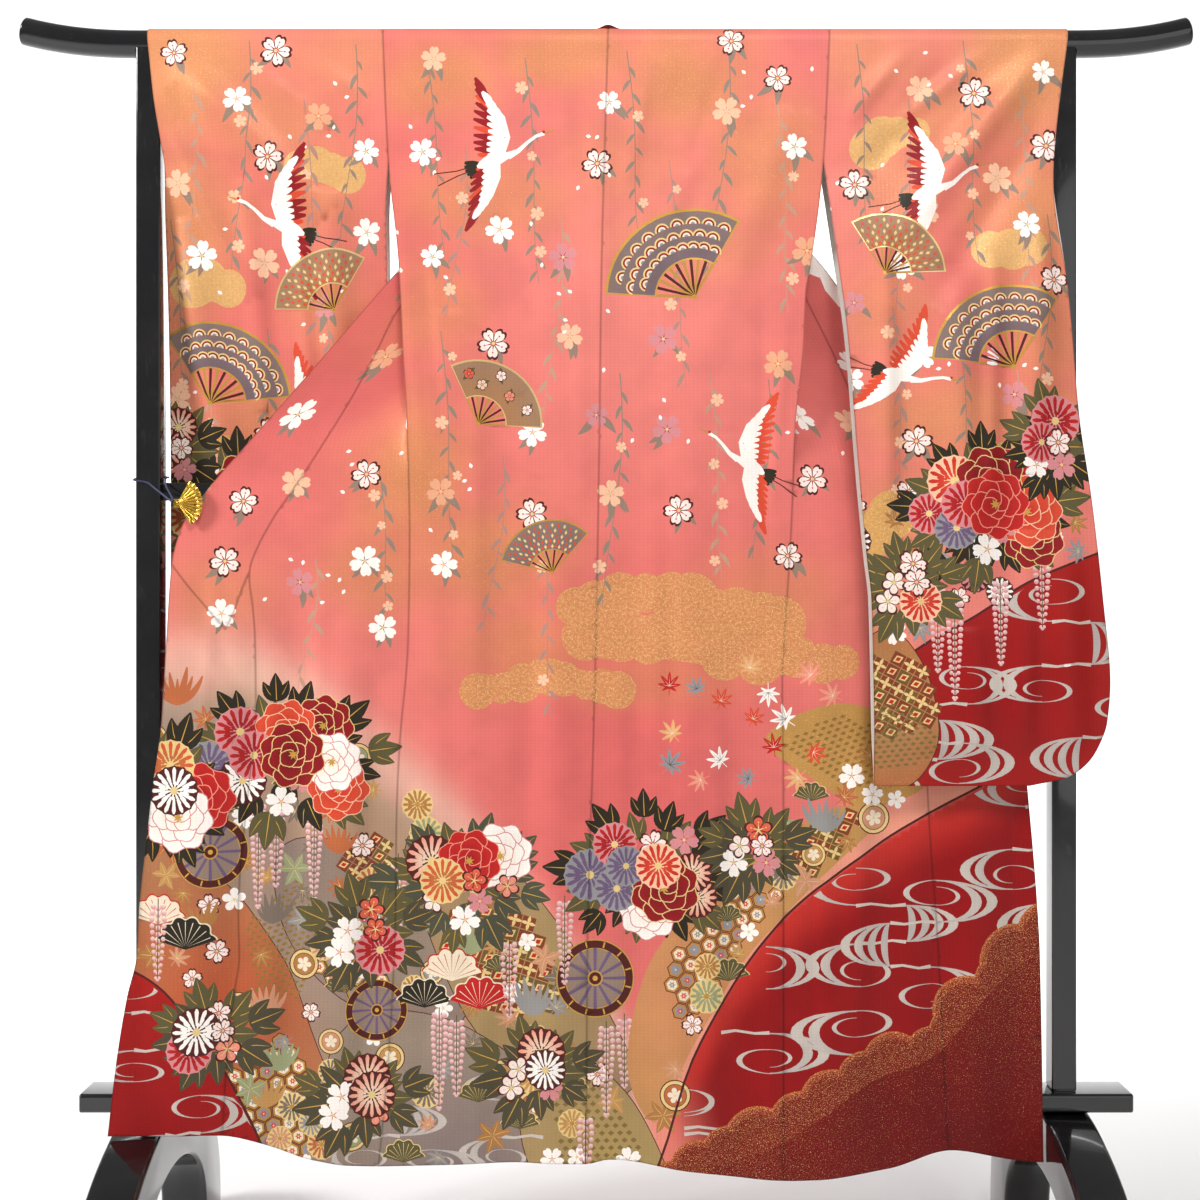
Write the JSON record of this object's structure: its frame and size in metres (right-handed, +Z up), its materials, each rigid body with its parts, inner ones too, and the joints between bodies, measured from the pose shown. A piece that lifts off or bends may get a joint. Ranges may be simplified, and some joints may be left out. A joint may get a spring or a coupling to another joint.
{
  "type": "furisode kimono on kimono stand",
  "caption": "Long-sleeved silk kimono hung by its shoulders over the round bar of a lacquered stand, back to the viewer, skirt spread flat.",
  "frame": {"origin": "on the floor, below the middle of the top bar", "axes": "+Z up, +X to the right of someone looking at the robe's back, +Y away from that viewer"},
  "size_m": [1.716, 0.58, 1.8554],
  "materials": {
    "silk": "lined silk crepe with a fine figured weave, soft sheen",
    "lacquer": "turned and planed wood under glossy black lacquer",
    "clip_metal": "polished gold-coloured stamped metal",
    "tie": "thin twisted navy cord"
  },
  "bodies": {
    "root": {"back_left": "silk", "back_right": "silk", "front_left": "silk", "front_right": "silk", "okumi_left": "silk", "okumi_right": "silk", "collar_left": "silk", "collar_right": "silk", "collar_neck": "silk", "sleeve_left_near": "silk", "sleeve_left_far": "silk", "sleeve_right_near": "silk", "sleeve_right_far": "silk", "top_bar": "lacquer", "mid_rail": "lacquer", "lower_rail": "lacquer", "post_left": "lacquer", "post_right": "lacquer", "foot_left": "lacquer", "foot_right": "lacquer", "clip_fan": "clip_metal", "clip_jaw": "clip_metal", "tie_cord": "tie"}
  },
  "joints": []
}
